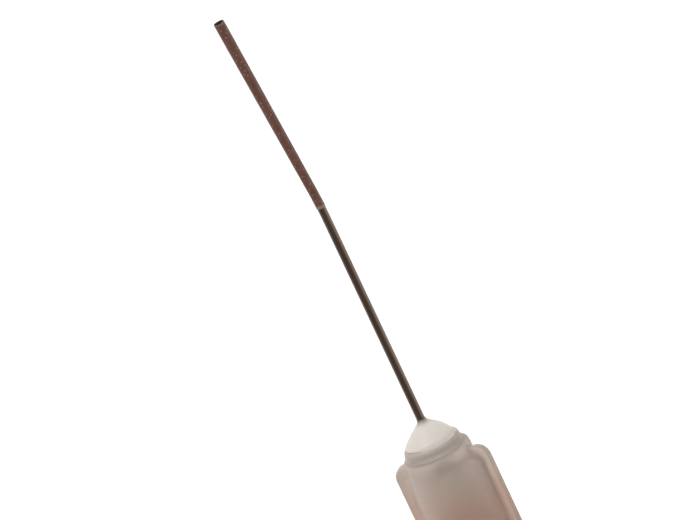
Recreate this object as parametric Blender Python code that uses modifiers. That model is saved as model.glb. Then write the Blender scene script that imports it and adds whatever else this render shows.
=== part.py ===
"""A needle-tipped glue applicator bottle, standing upright: a squeeze bottle with a screw thread on its neck,
a plug-in nozzle that a screw ring clamps down, a finned needle hub pushed on the nozzle's luer cone, and a
steel needle whose end carries a push-on tip sleeve. Metres, +Z up, origin at the middle of the base."""

import math

import bmesh
import bpy
from mathutils import Matrix, Vector

MM = 0.001

# Bottle, in millimetres as all sizes here.
BODY_RADIUS = 16.5
SIDE_HEIGHT = 41.0  # base to the start of the shoulder
BODY_WALL = 0.9
HEEL_RADIUS = 3.0
FOOT_WIDTH = 2.2  # flat ring that the bottle stands on
PUSH_UP = 1.8  # how far the base domes upwards
SHOULDER_RADIUS = 7.5
SHOULDER_SLOPE = 20.0  # degrees above level, where the shoulder runs to the neck
NECK_RADIUS = 7.9  # also the root of the screw thread
NECK_WALL = 2.3
NECK_HEIGHT = 12.0
NECK_FILLET = 1.2
NECK_BEAD_HEIGHT = 1.2
NECK_BEAD_REACH = 1.5
GLUE_DEPTH = 29.0

# Screw thread, shared by the neck and the ring.
THREAD_PITCH = 3.175
THREAD_HEIGHT = 1.0
THREAD_TURNS = 1.5
THREAD_TOP_GAP = 2.3  # rim to the middle of the thread's top end
THREAD_FLANK_GAP = 0.2

# Screw ring, washer and nozzle.
RING_WALL = 1.6
RING_TOP = 1.8
RING_RIBS = 36
RIB_RADIUS = 0.42
WASHER_THICKNESS = 1.0
FLANGE_THICKNESS = 1.4
PLUG_LENGTH = 8.0
PLUG_WALL = 1.2
NOSE_HEIGHT = 9.5  # flange top to the foot of the luer cone
NOSE_TOP_RADIUS = 3.4
LUER_RADIUS = 2.21  # at the foot of the cone
LUER_LENGTH = 8.0
LUER_TAPER = 0.03  # radius lost per unit of length, 6 % on the diameter
NOZZLE_BORE = 1.1

# Needle hub. Heights count down from the point where the needle leaves the bead.
HUB_LENGTH = 17.0
HUB_WALL = 1.05
CAVITY_RADIUS = 1.6  # above the luer socket
HUB_TURN = -27.5  # degrees that the fins stand turned from the X axis
BEAD_HEIGHT = 2.05
BEAD_RADIUS = 2.03
UPPER_STEP_RADIUS = 2.4
UPPER_STEP_HEIGHT = 0.78
LOWER_STEP_RADIUS = 2.95
LOWER_STEP_HEIGHT = 1.2
STEP_ROUND = 0.38
FIN_TOP_DROP = 0.7  # top of the lower step to the top of the fins
FIN_LENGTH = 10.2
FIN_REACH = 1.05  # beyond the core's foot
FIN_THICKNESS = 0.82
FIN_ROUND = 1.05
FIN_COUNT = 2
LUG_REACH = 0.6
LUG_HEIGHT = 1.2
LUG_ANGLE = 50.0

# Needle and tip.
NEEDLE_RADIUS = 0.359
NEEDLE_WALL = 0.152
NEEDLE_BONDED = 2.0  # length held in the hub
NEEDLE_FREE = 20.15  # bead to the lower end of the tip sleeve
NEEDLE_IN_SLEEVE = 4.0
SLEEVE_LENGTH = 16.85
SLEEVE_WALL = 0.018  # at the foot: the bore is straight and the outside tapers
SLEEVE_FLARE = 0.067  # how much wider the sleeve is at the tip
TIP_RING_HEIGHT = 0.35
TIP_RING_WALL = 0.15
JOINT_RING_HEIGHT = 0.28
BEND_ANGLE = 3.8  # degrees, towards -X
BEND_LENGTH = 3.2  # arc length of the bend, centred on the sleeve's lower end

# Clearances.
FACE_GAP = 0.1  # between faces that rest on each other
RING_GAP = 0.35  # ring bore over the neck's thread crest
PLUG_GAP = 0.12
LUER_GAP = 0.03
NEEDLE_GAP = 0.008
BEAD_GAP = 0.03
GLUE_GAP = 0.2
EMBED = 0.4  # how far a joined shape reaches into the wall that it grows from

FINE, MEDIUM, SMALL = 56, 40, 16  # sides of round pieces


# Sizes that follow from the ones above.
neck_bore = NECK_RADIUS - NECK_WALL
plug_radius = neck_bore - PLUG_GAP
thread_crest = NECK_RADIUS + THREAD_HEIGHT
ring_bore = thread_crest + RING_GAP
ring_radius = ring_bore + RING_WALL
ring_thread_crest = ring_bore - THREAD_HEIGHT
flange_radius = ring_thread_crest - RING_GAP
ring_hole = plug_radius + RING_GAP
luer_root = LUER_RADIUS - LUER_TAPER * FACE_GAP  # cone radius at the hub's mouth
hub_mouth = luer_root + LUER_GAP
core_foot = hub_mouth + HUB_WALL
fin_radius = core_foot + FIN_REACH
sleeve_bore = NEEDLE_RADIUS + NEEDLE_GAP
sleeve_foot_radius = sleeve_bore + SLEEVE_WALL
sleeve_tip_radius = sleeve_foot_radius + SLEEVE_FLARE


def arc(centre, radius, start, end, steps):
    """Points on an arc in the radius-height plane, angles in degrees."""
    turns = (start + (end - start) * i / steps for i in range(steps + 1))
    return [
        (centre[0] + radius * math.cos(math.radians(a)), centre[1] + radius * math.sin(math.radians(a)))
        for a in turns
    ]


def shoulder_outline(inset, neck, fillet, steps):
    """From the neck's foot down the fillet, the sloping shoulder and its round, to the top of the side."""
    centre = (BODY_RADIUS - SHOULDER_RADIUS, SIDE_HEIGHT)
    crown = arc(centre, SHOULDER_RADIUS - inset, 90.0 - SHOULDER_SLOPE, 0.0, steps)
    slope = math.radians(SHOULDER_SLOPE)
    fillet_end = neck + fillet * (1 - math.sin(slope))
    run = crown[0][0] - fillet_end
    neck_foot = crown[0][1] + run * math.tan(slope) + fillet * math.cos(slope)
    bend = arc((neck + fillet, neck_foot), fillet, 180.0, 270.0 - SHOULDER_SLOPE, 4)
    return bend + crown


def base_outline(inset, steps):
    """From the bottom of the side round the heel and across the domed base to the axis."""
    foot = BODY_RADIUS - HEEL_RADIUS
    dome = foot - FOOT_WIDTH
    heel = arc((foot, HEEL_RADIUS), HEEL_RADIUS - inset, 0.0, -90.0, steps)
    shares = (1.0, 0.85, 0.6, 0.3, 0.0)
    return heel + [(dome * s, inset + PUSH_UP * (1 - s * s)) for s in shares]


neck_foot_height = shoulder_outline(0.0, NECK_RADIUS, NECK_FILLET, 8)[0][1]
rim_height = neck_foot_height + NECK_HEIGHT
bead_height = neck_foot_height + NECK_BEAD_HEIGHT
ring_foot_height = bead_height + NECK_BEAD_HEIGHT + 0.5
washer_height = rim_height + FACE_GAP
flange_height = washer_height + WASHER_THICKNESS + FACE_GAP
ring_seat_height = flange_height + FLANGE_THICKNESS + FACE_GAP
nose_top_height = flange_height + FLANGE_THICKNESS + NOSE_HEIGHT
hub_height = nose_top_height + FACE_GAP
step_top_height = hub_height + HUB_LENGTH
needle_exit_height = step_top_height + BEAD_HEIGHT
fin_top_height = step_top_height - UPPER_STEP_HEIGHT - FIN_TOP_DROP


def clear_scene():
    for obj in list(bpy.data.objects):
        bpy.data.objects.remove(obj)


def new_collection(name, shown=True):
    collection = bpy.data.collections.new(name)
    bpy.context.scene.collection.children.link(collection)
    collection.hide_render = not shown
    return collection


def plastic(name, colour, roughness, metallic=0.0):
    made = bpy.data.materials.new(name)
    made.use_nodes = True
    shader = made.node_tree.nodes["Principled BSDF"]
    shader.inputs["Base Color"].default_value = (*colour, 1.0)
    shader.inputs["Roughness"].default_value = roughness
    shader.inputs["Metallic"].default_value = metallic
    return made


def add_object(name, mesh, collection, height=0.0, turn=0.0):
    obj = bpy.data.objects.new(name, mesh)
    obj.location = (0.0, 0.0, height * MM)
    obj.rotation_euler = (0.0, 0.0, math.radians(turn))
    collection.objects.link(obj)
    return obj


def dress(obj, material, parent):
    """Gives a piece its material and hangs it on its assembly's empty."""
    obj.data.materials.append(material)
    obj.parent = parent
    obj.matrix_parent_inverse = parent.matrix_world.inverted()
    return obj


def turned(name, outline, collection, height=0.0, turn=0.0, sides=MEDIUM, ring=False):
    """A turned piece: the outline (radius, height) runs down its outer side. A ring's outline is closed."""
    mesh = bpy.data.meshes.new(name)
    points = [(r * MM, 0.0, z * MM) for r, z in outline]
    edges = [(i, i + 1) for i in range(len(points) - 1)]
    if ring:
        edges.append((len(points) - 1, 0))
    mesh.from_pydata(points, edges, [])
    obj = add_object(name, mesh, collection, height, turn)
    lathe = obj.modifiers.new("lathe", "SCREW")
    lathe.steps = lathe.render_steps = sides
    lathe.use_merge_vertices = True
    lathe.merge_threshold = 1e-6
    lathe.use_smooth_shade = True
    return obj


def join(obj, others):
    """Boolean unions of helper shapes into obj."""
    for other in others:
        union = obj.modifiers.new("join " + other.name, "BOOLEAN")
        union.operation = "UNION"
        union.object = other
    return obj


def helper(obj):
    obj.hide_render = True
    obj.display_type = "WIRE"
    return obj


def slab(name, outline, thickness, collection, placing):
    """A flat plate: a filled outline extruded by half its thickness each way, then made a mesh."""
    curve = bpy.data.curves.new(name, "CURVE")
    curve.dimensions = "2D"
    curve.fill_mode = "BOTH"
    curve.extrude = thickness / 2 * MM
    line = curve.splines.new("POLY")
    line.points.add(len(outline) - 1)
    for point, (x, y) in zip(line.points, outline):
        point.co = (x * MM, y * MM, 0.0, 1.0)
    line.use_cyclic_u = True
    drawn = bpy.data.objects.new(name, curve)
    drawn.matrix_world = placing
    collection.objects.link(drawn)
    bpy.context.view_layer.update()
    mesh = bpy.data.meshes.new_from_object(drawn.evaluated_get(bpy.context.evaluated_depsgraph_get()))
    solid = bmesh.new()
    solid.from_mesh(mesh)
    bmesh.ops.remove_doubles(solid, verts=solid.verts, dist=1e-6)
    solid.to_mesh(mesh)
    solid.free()
    obj = bpy.data.objects.new(name + "_solid", mesh)
    obj.matrix_world = drawn.matrix_world.copy()
    collection.objects.link(obj)
    bpy.data.objects.remove(drawn)
    return helper(obj)


def thread_ridge(name, root, crest, turns, bottom, widths, collection, height=0.0):
    """One helical ridge with run-out ends. root is the wall that it grows from, and widths are those at the
    wall and at the crest. It is lofted by hand because its section shrinks at the ends."""
    outwards = 1 if crest > root else -1
    buried = root - outwards * EMBED
    count = round(turns * 36)
    run_out = 4
    solid = bmesh.new()
    sections = []
    for i in range(count + 1):
        angle = 2 * math.pi * turns * i / count
        middle = bottom + THREAD_PITCH * turns * i / count
        grown = min(1.0, 0.12 + min(i, count - i) / run_out)
        top = root + (crest - root) * grown
        half_wall, half_crest = widths[0] / 2, (widths[0] + (widths[1] - widths[0]) * grown) / 2
        corners = (
            (buried, middle - half_wall),
            (top, middle - half_crest),
            (top, middle + half_crest),
            (buried, middle + half_wall),
        )
        across, along = MM * math.cos(angle), MM * math.sin(angle)
        sections.append([solid.verts.new((r * across, r * along, z * MM)) for r, z in corners])
    for low, high in zip(sections, sections[1:]):
        for k in range(4):
            solid.faces.new((low[k], low[(k + 1) % 4], high[(k + 1) % 4], high[k]))
    solid.faces.new(sections[0][::-1])
    solid.faces.new(sections[-1])
    bmesh.ops.recalc_face_normals(solid, faces=solid.faces)
    mesh = bpy.data.meshes.new(name)
    solid.to_mesh(mesh)
    solid.free()
    return helper(add_object(name, mesh, collection, height))


def make_bottle(parts, helpers):
    """Blow-moulded squeeze bottle with a domed base, a transfer bead and a threaded neck."""
    outer = shoulder_outline(0.0, NECK_RADIUS, NECK_FILLET, 8)
    inner = shoulder_outline(BODY_WALL, neck_bore, NECK_FILLET, 8)
    bead_radius = NECK_RADIUS + NECK_BEAD_REACH
    rim_round = 0.3
    neck = [
        (neck_bore, rim_height - rim_round),
        (neck_bore + rim_round, rim_height),
        (NECK_RADIUS - rim_round, rim_height),
        (NECK_RADIUS, rim_height - rim_round),
        (NECK_RADIUS, bead_height + NECK_BEAD_HEIGHT),
        (bead_radius, bead_height + NECK_BEAD_HEIGHT * 0.8),
        (bead_radius, bead_height + NECK_BEAD_HEIGHT * 0.2),
        (NECK_RADIUS, bead_height),
    ]
    inside = (inner + base_outline(BODY_WALL, 5))[::-1]
    outside = outer + base_outline(0.0, 5)
    bottle = turned("bottle", inside + neck + outside, parts, sides=FINE)
    wall_width, crest_width = thread_widths()
    bottom = rim_height - THREAD_TOP_GAP - THREAD_PITCH * THREAD_TURNS
    ridge = thread_ridge(
        "neck_thread", NECK_RADIUS, thread_crest, THREAD_TURNS, bottom, (wall_width, crest_width), helpers
    )
    return join(bottle, [ridge])


def thread_widths():
    """Ridge widths at the wall and at the crest that leave THREAD_FLANK_GAP between the threads' flanks."""
    shared = THREAD_PITCH / 2 - THREAD_FLANK_GAP
    return shared * 1.36, shared * 0.64


def make_glue(parts):
    """What the bottle holds: a liquid adhesive, as a solid standing clear of the bottle's wall."""
    inset = BODY_WALL + GLUE_GAP
    surface = base_outline(inset, 5)[-1][1] + GLUE_DEPTH
    top = [(0.0, surface), (BODY_RADIUS - inset, surface)]
    return turned("glue_fill", top + base_outline(inset, 5), parts)


def make_washer(parts):
    """Foamed seal between the neck's rim and the nozzle's flange."""
    inner, outer = plug_radius + PLUG_GAP * 2, min(NECK_RADIUS, flange_radius) - 0.1
    outline = [(inner, WASHER_THICKNESS), (outer, WASHER_THICKNESS), (outer, 0.0), (inner, 0.0)]
    return turned("sealing_washer", outline, parts, washer_height, ring=True)


def make_nozzle(parts):
    """Plug for the neck, flange that the ring clamps, hollow nose and male luer cone, in one moulding."""
    foot = -(flange_height - rim_height) - PLUG_LENGTH
    plug_bore = plug_radius - PLUG_WALL
    nose_foot = FLANGE_THICKNESS + FACE_GAP + RING_TOP
    nose_top = FLANGE_THICKNESS + NOSE_HEIGHT
    tip = nose_top + LUER_LENGTH
    tip_radius = LUER_RADIUS - LUER_TAPER * LUER_LENGTH
    edge = 0.3
    outline = [
        (NOZZLE_BORE, tip),
        (tip_radius - edge, tip),
        (tip_radius, tip - edge),
        (LUER_RADIUS, nose_top),
        (NOSE_TOP_RADIUS - edge, nose_top),
        (NOSE_TOP_RADIUS, nose_top - edge),
        (plug_radius, nose_foot),
        (plug_radius, FLANGE_THICKNESS),
        (flange_radius, FLANGE_THICKNESS),
        (flange_radius, 0.0),
        (plug_radius, 0.0),
        (plug_radius, foot + edge * 2),
        (plug_radius - edge, foot),
        (plug_bore, foot),
        (plug_bore, nose_foot - edge),
        (NOZZLE_BORE, nose_top - edge * 4),
    ]
    return turned("luer_nozzle", outline, parts, flange_height, ring=True)


def make_ring(parts, helpers):
    """Ribbed screw ring: its top plate holds the nozzle's flange down and its thread runs on the neck's."""
    height = ring_seat_height - ring_foot_height + RING_TOP
    seat = height - RING_TOP
    edge = 0.7
    outline = [
        (ring_hole, height - 0.2),
        (ring_hole + 0.2, height),
        (ring_radius - edge, height),
        (ring_radius - edge * 0.3, height - edge * 0.3),
        (ring_radius, height - edge),
        (ring_radius, 0.3),
        (ring_radius - 0.3, 0.0),
        (ring_bore + 0.4, 0.0),
        (ring_bore, 0.4),
        (ring_bore, seat),
        (ring_hole, seat),
    ]
    ring = turned("screw_ring", outline, parts, ring_foot_height, sides=RING_RIBS * 2, ring=True)
    wall_width, crest_width = thread_widths()
    turns = THREAD_TURNS - 0.25
    neck_thread_foot = rim_height - THREAD_TOP_GAP - THREAD_PITCH * THREAD_TURNS
    bottom = neck_thread_foot + THREAD_PITCH / 2 - ring_foot_height
    ridge = thread_ridge(
        "ring_thread", ring_bore, ring_thread_crest, turns, bottom, (wall_width, crest_width), helpers,
        ring_foot_height,
    )
    return join(ring, [ridge, make_ribs(height, helpers)])


def make_ribs(height, helpers):
    """Grip ribs: slim half-buried posts round the ring, as one helper mesh."""
    low, high = 1.0, height - 1.4
    solid = bmesh.new()
    for i in range(RING_RIBS):
        turn = Matrix.Rotation(2 * math.pi * i / RING_RIBS, 4, "Z")
        place = Matrix.Translation((ring_radius * MM, 0.0, (low + high) / 2 * MM))
        bmesh.ops.create_cone(
            solid, cap_ends=True, segments=8, radius1=RIB_RADIUS * MM, radius2=RIB_RADIUS * MM,
            depth=(high - low) * MM, matrix=turn @ place,
        )
    mesh = bpy.data.meshes.new("grip_ribs")
    solid.to_mesh(mesh)
    solid.free()
    return helper(add_object("grip_ribs", mesh, helpers, ring_foot_height))


def make_hub(parts, helpers):
    """Moulded needle hub: two round steps at the top, a core with two fins, and two lugs at its mouth."""
    top = HUB_LENGTH
    lower_top = top - UPPER_STEP_HEIGHT
    lower_foot = lower_top - LOWER_STEP_HEIGHT
    fin_foot = fin_top_height - hub_height - FIN_LENGTH
    bore_top = LUER_LENGTH + 1.2
    bond_bore = NEEDLE_RADIUS + NEEDLE_GAP
    bond_foot = top - NEEDLE_BONDED
    waist = (LOWER_STEP_RADIUS + core_foot) / 2 + 0.05
    upper = arc((UPPER_STEP_RADIUS - STEP_ROUND, top - STEP_ROUND), STEP_ROUND, 90.0, 0.0, 4)
    lower = arc((LOWER_STEP_RADIUS - STEP_ROUND, lower_top - STEP_ROUND), STEP_ROUND, 90.0, 0.0, 4)
    outline = [
        (bond_bore, top),
        *upper,
        (UPPER_STEP_RADIUS, lower_top),
        *lower,
        (LOWER_STEP_RADIUS, lower_foot),
        (waist, lower_foot - 2.0),
        (core_foot, fin_foot),
        (core_foot, 0.0),
        (hub_mouth, 0.0),
        (hub_mouth - LUER_TAPER * bore_top, bore_top),
        (CAVITY_RADIUS, bore_top + 0.6),
        (CAVITY_RADIUS, bond_foot - CAVITY_RADIUS / 2),
        (bond_bore, bond_foot),
    ]
    hub = turned("needle_hub", outline, parts, hub_height, HUB_TURN, ring=True)
    joined = [make_fin(i, helpers) for i in range(FIN_COUNT)] + [make_lug(i, helpers) for i in range(2)]
    return join(hub, joined)


def make_fin(index, helpers):
    """An upright fin with a rounded top corner, buried in the core's wall but clear of its bore."""
    low, high = fin_top_height - FIN_LENGTH, fin_top_height
    buried = max(hub_mouth, LOWER_STEP_RADIUS - HUB_WALL) + EMBED / 2
    corner = arc((fin_radius - FIN_ROUND, high - FIN_ROUND), FIN_ROUND, 90.0, 0.0, 6)
    foot = arc((fin_radius - FIN_ROUND, low + FIN_ROUND), FIN_ROUND, 0.0, -90.0, 6)
    outline = [(buried, high), *corner, *foot, (buried, low)]
    turn = math.radians(HUB_TURN + 360.0 / FIN_COUNT * index)
    placing = Matrix.Rotation(turn, 4, "Z") @ Matrix.Rotation(math.pi / 2, 4, "X")
    return slab(f"fin_{index}", outline, FIN_THICKNESS, helpers, placing)


def make_lug(index, helpers):
    """One of the two short ears at the hub's mouth."""
    half = LUG_ANGLE / 2
    outline = arc((0.0, 0.0), core_foot + LUG_REACH, -half, half, 6)
    outline += arc((0.0, 0.0), core_foot - EMBED, half, -half, 6)
    middle = hub_height + LUG_HEIGHT / 2 + FACE_GAP
    turn = math.radians(HUB_TURN + 45.0 + 180.0 * index)
    placing = Matrix.Translation((0.0, 0.0, middle * MM)) @ Matrix.Rotation(turn, 4, "Z")
    return slab(f"lug_{index}", outline, LUG_HEIGHT, helpers, placing)


def make_bead(parts):
    """Dome of adhesive that bonds the needle to the top of the hub."""
    foot = BEAD_GAP
    hole = NEEDLE_RADIUS + NEEDLE_GAP
    shares = (0.82, 0.7, 0.55, 0.4, 0.25, 0.12, 0.0)
    side = [(BEAD_RADIUS * (1 - share**1.6), foot + (BEAD_HEIGHT - foot) * share) for share in shares]
    outline = [(hole, BEAD_HEIGHT), (hole + 0.03, BEAD_HEIGHT - 0.02), *side, (hole, foot)]
    return turned("bond_bead", outline, parts, step_top_height, ring=True)


def bend(height):
    """(sideways offset, height, tilt) of the needle's centre line, at a length measured up it as a height."""
    start = needle_exit_height + NEEDLE_FREE - BEND_LENGTH / 2
    whole = math.radians(BEND_ANGLE)
    if height <= start:
        return 0.0, height, 0.0
    radius = BEND_LENGTH / whole
    tilt = min((height - start) / radius, whole)
    beyond = height - start - radius * tilt
    side = radius * (1 - math.cos(tilt)) + beyond * math.sin(tilt)
    return -side, start + radius * math.sin(tilt) + beyond * math.cos(tilt), -tilt


def bent_tube(name, low, high, outside, bore, rows, parts):
    """A thin tube along the needle's centre line. outside and bore are its radii at the two ends."""
    shares = [i / rows for i in range(rows + 1)]
    wall = [(bore, share) for share in shares] + [(outside, share) for share in reversed(shares)]
    solid = bmesh.new()
    corners = [
        solid.verts.new(((radii[0] + (radii[1] - radii[0]) * share) * MM, 0.0, low + (high - low) * share))
        for radii, share in wall
    ]
    edges = [solid.edges.new((one, other)) for one, other in zip(corners, corners[1:] + corners[:1])]
    bmesh.ops.spin(
        solid, geom=corners + edges, cent=(0.0, 0.0, 0.0), axis=(0.0, 0.0, 1.0), angle=2 * math.pi,
        steps=SMALL, use_merge=True,
    )
    for vert in solid.verts:
        side, height, tilt = bend(vert.co.z)
        across = Matrix.Rotation(tilt, 4, "Y") @ Vector((vert.co.x, vert.co.y, 0.0))
        vert.co = across + Vector((side * MM, 0.0, height * MM))
    bmesh.ops.remove_doubles(solid, verts=solid.verts, dist=1e-7)
    bmesh.ops.recalc_face_normals(solid, faces=solid.faces)
    mesh = bpy.data.meshes.new(name)
    solid.to_mesh(mesh)
    solid.free()
    mesh.shade_smooth()
    return add_object(name, mesh, parts)


def make_needle_pieces(parts):
    """Steel needle, adhesive ring under the sleeve, tapered tip sleeve and the ring at its mouth."""
    joint = needle_exit_height + NEEDLE_FREE
    tip = joint + SLEEVE_LENGTH
    steel = (NEEDLE_RADIUS, NEEDLE_RADIUS)
    needle = bent_tube(
        "needle_tube", step_top_height - NEEDLE_BONDED - 0.5, joint + NEEDLE_IN_SLEEVE,
        steel, [radius - NEEDLE_WALL for radius in steel], 24, parts,
    )
    sleeve = bent_tube(
        "tip_sleeve", joint, tip,
        (sleeve_foot_radius, sleeve_tip_radius), (sleeve_bore, sleeve_bore), 16, parts,
    )
    glue_ring = bent_tube(
        "joint_ring", joint - JOINT_RING_HEIGHT - NEEDLE_GAP, joint - NEEDLE_GAP,
        (sleeve_foot_radius - SLEEVE_WALL / 2, sleeve_foot_radius), (sleeve_bore, sleeve_bore), 2, parts,
    )
    mouth = bent_tube(
        "tip_ring", tip + NEEDLE_GAP, tip + NEEDLE_GAP + TIP_RING_HEIGHT,
        (sleeve_tip_radius, sleeve_tip_radius),
        (sleeve_tip_radius - TIP_RING_WALL, sleeve_tip_radius - TIP_RING_WALL), 2, parts,
    )
    return needle, sleeve, glue_ring, mouth


def add_empty(name, height, collection):
    empty = bpy.data.objects.new(name, None)
    empty.location = (0.0, 0.0, height * MM)
    collection.objects.link(empty)
    return empty


def main():
    clear_scene()
    parts = new_collection("glue_applicator_bottle")
    helpers = new_collection("joined_shapes", shown=False)
    container = add_empty("container", 0.0, parts)
    closure = add_empty("closure", rim_height, parts)
    needle_assembly = add_empty("needle_assembly", hub_height, parts)
    bpy.context.view_layer.update()

    natural_ldpe = plastic("natural_ldpe", (0.78, 0.76, 0.72), 0.42)
    liquid_glue = plastic("liquid_glue", (0.42, 0.17, 0.09), 0.15)
    white_pp = plastic("white_pp", (0.82, 0.81, 0.79), 0.38)
    natural_pp = plastic("natural_pp", (0.62, 0.56, 0.50), 0.40)
    foam_pe = plastic("foam_pe", (0.86, 0.86, 0.84), 0.85)
    milky_epoxy = plastic("milky_epoxy", (0.80, 0.75, 0.70), 0.35)
    dark_steel = plastic("dark_steel", (0.20, 0.16, 0.14), 0.30, 1.0)
    red_brown_sleeve = plastic("red_brown_sleeve", (0.20, 0.09, 0.06), 0.50)
    grey_ring = plastic("grey_ring", (0.26, 0.23, 0.20), 0.45)

    dress(make_bottle(parts, helpers), natural_ldpe, container)
    dress(make_glue(parts), liquid_glue, container)
    dress(make_washer(parts), foam_pe, closure)
    dress(make_nozzle(parts), natural_pp, closure)
    dress(make_ring(parts, helpers), white_pp, closure)
    dress(make_hub(parts, helpers), natural_pp, needle_assembly)
    dress(make_bead(parts), milky_epoxy, needle_assembly)
    finishes = (dark_steel, red_brown_sleeve, grey_ring, grey_ring)
    for piece, finish in zip(make_needle_pieces(parts), finishes):
        dress(piece, finish, needle_assembly)


main()
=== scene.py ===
"""Looks of the needle-tipped glue applicator bottle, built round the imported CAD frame."""

import math

import bmesh
import bpy
from mathutils import Matrix, Vector, noise


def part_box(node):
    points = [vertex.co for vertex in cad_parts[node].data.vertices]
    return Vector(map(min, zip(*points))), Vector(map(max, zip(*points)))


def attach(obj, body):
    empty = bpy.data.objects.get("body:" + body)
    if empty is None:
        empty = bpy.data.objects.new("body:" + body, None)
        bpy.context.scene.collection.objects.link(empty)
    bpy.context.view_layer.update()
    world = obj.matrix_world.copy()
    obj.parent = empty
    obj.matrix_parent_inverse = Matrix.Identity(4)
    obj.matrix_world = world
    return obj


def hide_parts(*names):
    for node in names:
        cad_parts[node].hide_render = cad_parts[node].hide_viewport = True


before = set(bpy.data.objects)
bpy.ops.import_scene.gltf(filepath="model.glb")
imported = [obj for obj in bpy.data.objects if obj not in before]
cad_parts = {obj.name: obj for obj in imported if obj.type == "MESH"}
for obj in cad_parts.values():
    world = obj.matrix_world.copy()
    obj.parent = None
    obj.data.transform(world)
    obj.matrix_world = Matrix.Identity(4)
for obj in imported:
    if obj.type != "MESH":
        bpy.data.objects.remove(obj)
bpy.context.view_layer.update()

MM = 0.001


# Stage: flat white paper in a light tent, and a long lens close up.
# The lens looks down on the tip by some 16 degrees and is rolled, so that the needle leans to the left.
LOOK_DOWN = math.radians(16.0)
NEEDLE_LEAN = math.radians(25.2)
LENS = 200.0
SENSOR_WIDTH = 36.0
PICTURE_WIDTH = 57.66  # mm that the picture spans at the bead
BEAD_RIGHT, BEAD_BELOW = 5.81, 13.02  # mm from the picture's middle to the top of the bead

bead_top = Vector((0.0, 0.0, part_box("bond_bead")[1][2]))
look = Vector((0.0, math.cos(LOOK_DOWN), -math.sin(LOOK_DOWN)))
rise = Vector((0.0, math.sin(LOOK_DOWN), math.cos(LOOK_DOWN)))
side = Vector((1.0, 0.0, 0.0))
picture_right = side * math.cos(NEEDLE_LEAN) - rise * math.sin(NEEDLE_LEAN)
picture_up = side * math.sin(NEEDLE_LEAN) + rise * math.cos(NEEDLE_LEAN)
picture_middle = bead_top - picture_right * BEAD_RIGHT * MM + picture_up * BEAD_BELOW * MM

camera_data = bpy.data.cameras.new("camera")
camera_data.lens = LENS
camera_data.sensor_width = SENSOR_WIDTH
camera_data.clip_start = 0.01
camera_data.clip_end = 50.0
camera = bpy.data.objects.new("camera", camera_data)
bpy.context.scene.collection.objects.link(camera)
distance = LENS / SENSOR_WIDTH * PICTURE_WIDTH * MM
turn = Matrix((picture_right, picture_up, -look)).transposed()
camera.matrix_world = Matrix.Translation(picture_middle - look * distance) @ turn.to_4x4()
bpy.context.scene.camera = camera


def softbox(name, place, aim, size, power):
    """A square area light at place, turned to face aim."""
    light = bpy.data.lights.new(name, "AREA")
    light.size = size
    light.energy = power
    lamp = bpy.data.objects.new(name, light)
    bpy.context.scene.collection.objects.link(lamp)
    facing = (Vector(aim) - Vector(place)).to_track_quat("-Z", "Y")
    lamp.matrix_world = Matrix.Translation(place) @ facing.to_matrix().to_4x4()


softbox("key_light", (-0.30, -0.42, 0.55), (0.0, 0.0, 0.09), 0.30, 1.3)
softbox("overhead", (0.0, 0.5, 1.5), (0.0, 0.5, 0.0), 2.0, 14.0)

# The tent is white all round. What mirrors it also shows the dark opening that the lens looks in by.
TENT_WHITE, TENT_OPENING = 0.80, 0.22
world = bpy.data.worlds.new("light_tent")
world.use_nodes = True
tree = world.node_tree
tree.nodes.clear()
bpy.context.scene.view_settings.view_transform = "Standard"


def add_node(tree, kind, settings=None, sockets=None):
    """Adds a node. Settings are its own properties; a socket gets a value or another node's output."""
    node = tree.nodes.new(kind)
    for name, value in (settings or {}).items():
        setattr(node, name, value)
    for name, value in (sockets or {}).items():
        if isinstance(value, bpy.types.NodeSocket):
            tree.links.new(value, node.inputs[name])
        else:
            node.inputs[name].default_value = value
    return node


def srgb(code):
    """A colour written as sRGB hex, as linear RGBA."""
    shares = [int(code[i : i + 2], 16) / 255 for i in (1, 3, 5)]
    linear = [s / 12.92 if s <= 0.04045 else ((s + 0.055) / 1.055) ** 2.4 for s in shares]
    return (*linear, 1.0)


def new_material(name):
    """A material and its node tree, with only the output node in it."""
    material = bpy.data.materials.new(name)
    material.use_nodes = True
    material.node_tree.nodes.clear()
    return material, material.node_tree


def finish_material(tree, surface):
    add_node(tree, "ShaderNodeOutputMaterial", sockets={"Surface": surface.outputs["BSDF"]})


direction = add_node(tree, "ShaderNodeTexCoord")
towards_lens = add_node(
    tree, "ShaderNodeVectorMath", {"operation": "DOT_PRODUCT"},
    {0: direction.outputs["Generated"], 1: (-0.40, -0.88, -0.26)},
)
opening = add_node(
    tree, "ShaderNodeMapRange", {"interpolation_type": "SMOOTHSTEP"},
    {
        "Value": towards_lens.outputs["Value"], "From Min": -0.2, "From Max": 0.85,
        "To Min": 1.0, "To Max": TENT_OPENING,
    },
)
cloth = add_node(tree, "ShaderNodeBackground", sockets={"Strength": TENT_WHITE})
mirrored = add_node(tree, "ShaderNodeBackground", sockets={"Strength": opening.outputs["Result"]})
backdrop = add_node(tree, "ShaderNodeBackground", sockets={"Strength": 1.0})
for white in (cloth, mirrored, backdrop):
    white.inputs["Color"].default_value = (1.0, 1.0, 1.0, 1.0)
path = add_node(tree, "ShaderNodeLightPath")
around = add_node(
    tree, "ShaderNodeMixShader",
    sockets={
        0: path.outputs["Is Glossy Ray"], 1: cloth.outputs["Background"], 2: mirrored.outputs["Background"],
    },
)
seen = add_node(
    tree, "ShaderNodeMixShader",
    sockets={
        0: path.outputs["Is Camera Ray"], 1: around.outputs["Shader"], 2: backdrop.outputs["Background"],
    },
)
add_node(tree, "ShaderNodeOutputWorld", sockets={"Surface": seen.outputs["Shader"]})
bpy.context.scene.world = world


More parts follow.
